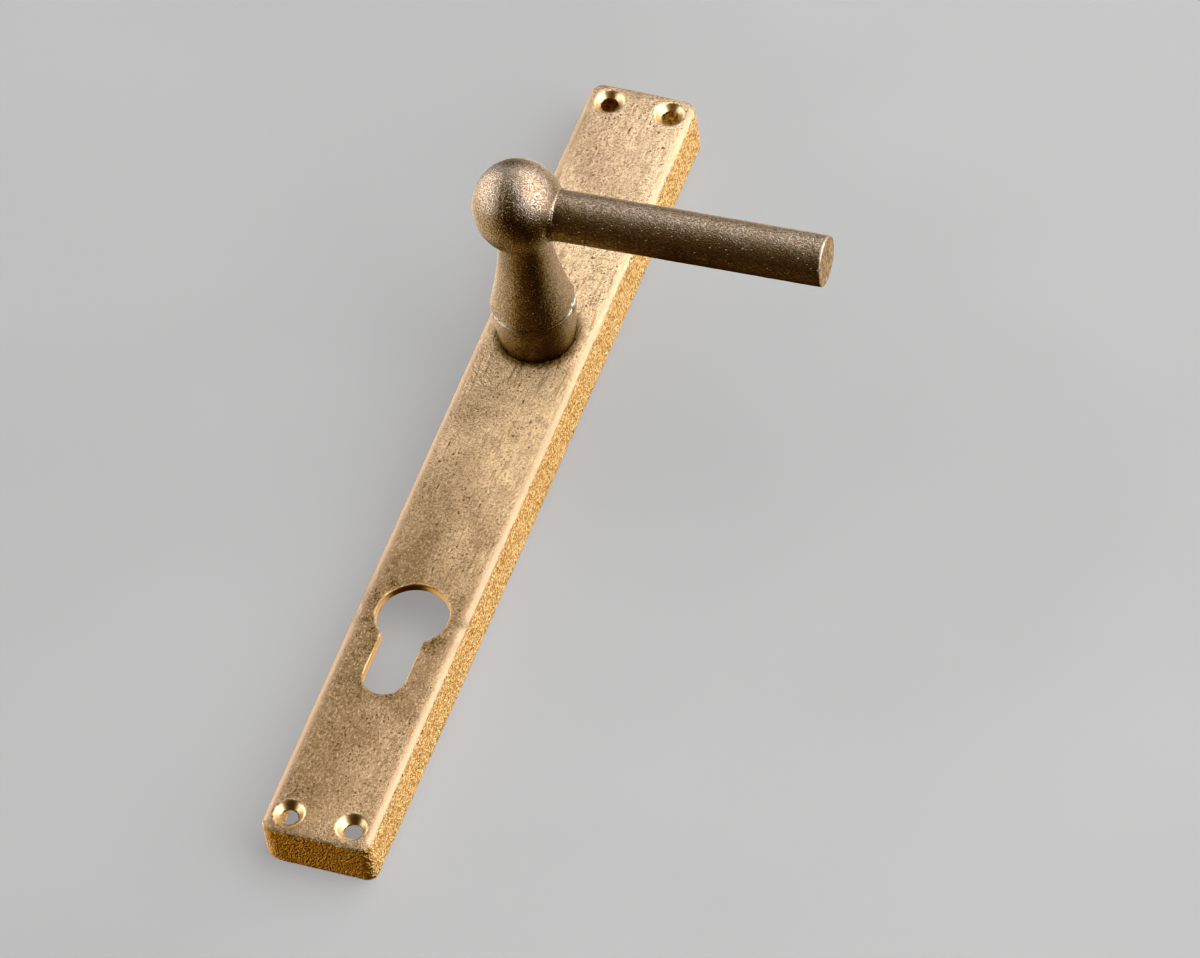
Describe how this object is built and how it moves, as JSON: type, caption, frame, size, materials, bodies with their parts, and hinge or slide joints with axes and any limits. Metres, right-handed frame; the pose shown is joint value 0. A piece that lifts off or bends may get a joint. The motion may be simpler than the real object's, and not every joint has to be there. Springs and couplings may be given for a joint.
{
  "type": "door lever handle on backplate",
  "caption": "Cast bronze door lever with a ball head, flared neck and straight round grip, on a long narrow hollow-backed plate with countersunk screw holes and a profile-cylinder cut-out.",
  "frame": {"origin": "middle of the plate's back plane, on the flat face of the middle cross rib", "axes": "+Z out of the plate's face, +Y up the door towards the lever, +X towards the free end of the grip"},
  "size_m": [0.0946, 0.2464, 0.075],
  "materials": {
    "plate_bronze": "satin sand-cast raw bronze, worn pale at the edges",
    "dark_bronze": "rough antique brown bronze with burnished highlights",
    "steel": "zinc-plated steel",
    "spring_steel": "drawn and blued spring steel",
    "nylon": "natural nylon"
  },
  "bodies": {
    "plate": {"backplate": "plate_bronze", "neck_collar": "dark_bronze", "bearing_bush": "nylon", "return_spring": "spring_steel", "spring_cover": "steel", "cover_screw_upper": "steel", "cover_screw_lower": "steel"},
    "lever": {"lever_head": "dark_bronze", "grip_bar": "dark_bronze", "grip_pin": "steel", "grub_screw": "steel", "driver_disc": "steel", "thrust_washer": "nylon", "wave_washer": "spring_steel", "retaining_ring": "spring_steel"}
  },
  "joints": [
    {"name": "lever_turn", "type": "hinge", "parent": "plate", "child": "lever", "pos_m": [0, 0.04, 0.0125], "axis": [0, 0, 1], "range_deg": [-40, 0], "stiffness_Nm_per_rad": 0.8, "springref_deg": 45.84, "deforming": ["return_spring"]}
  ]
}
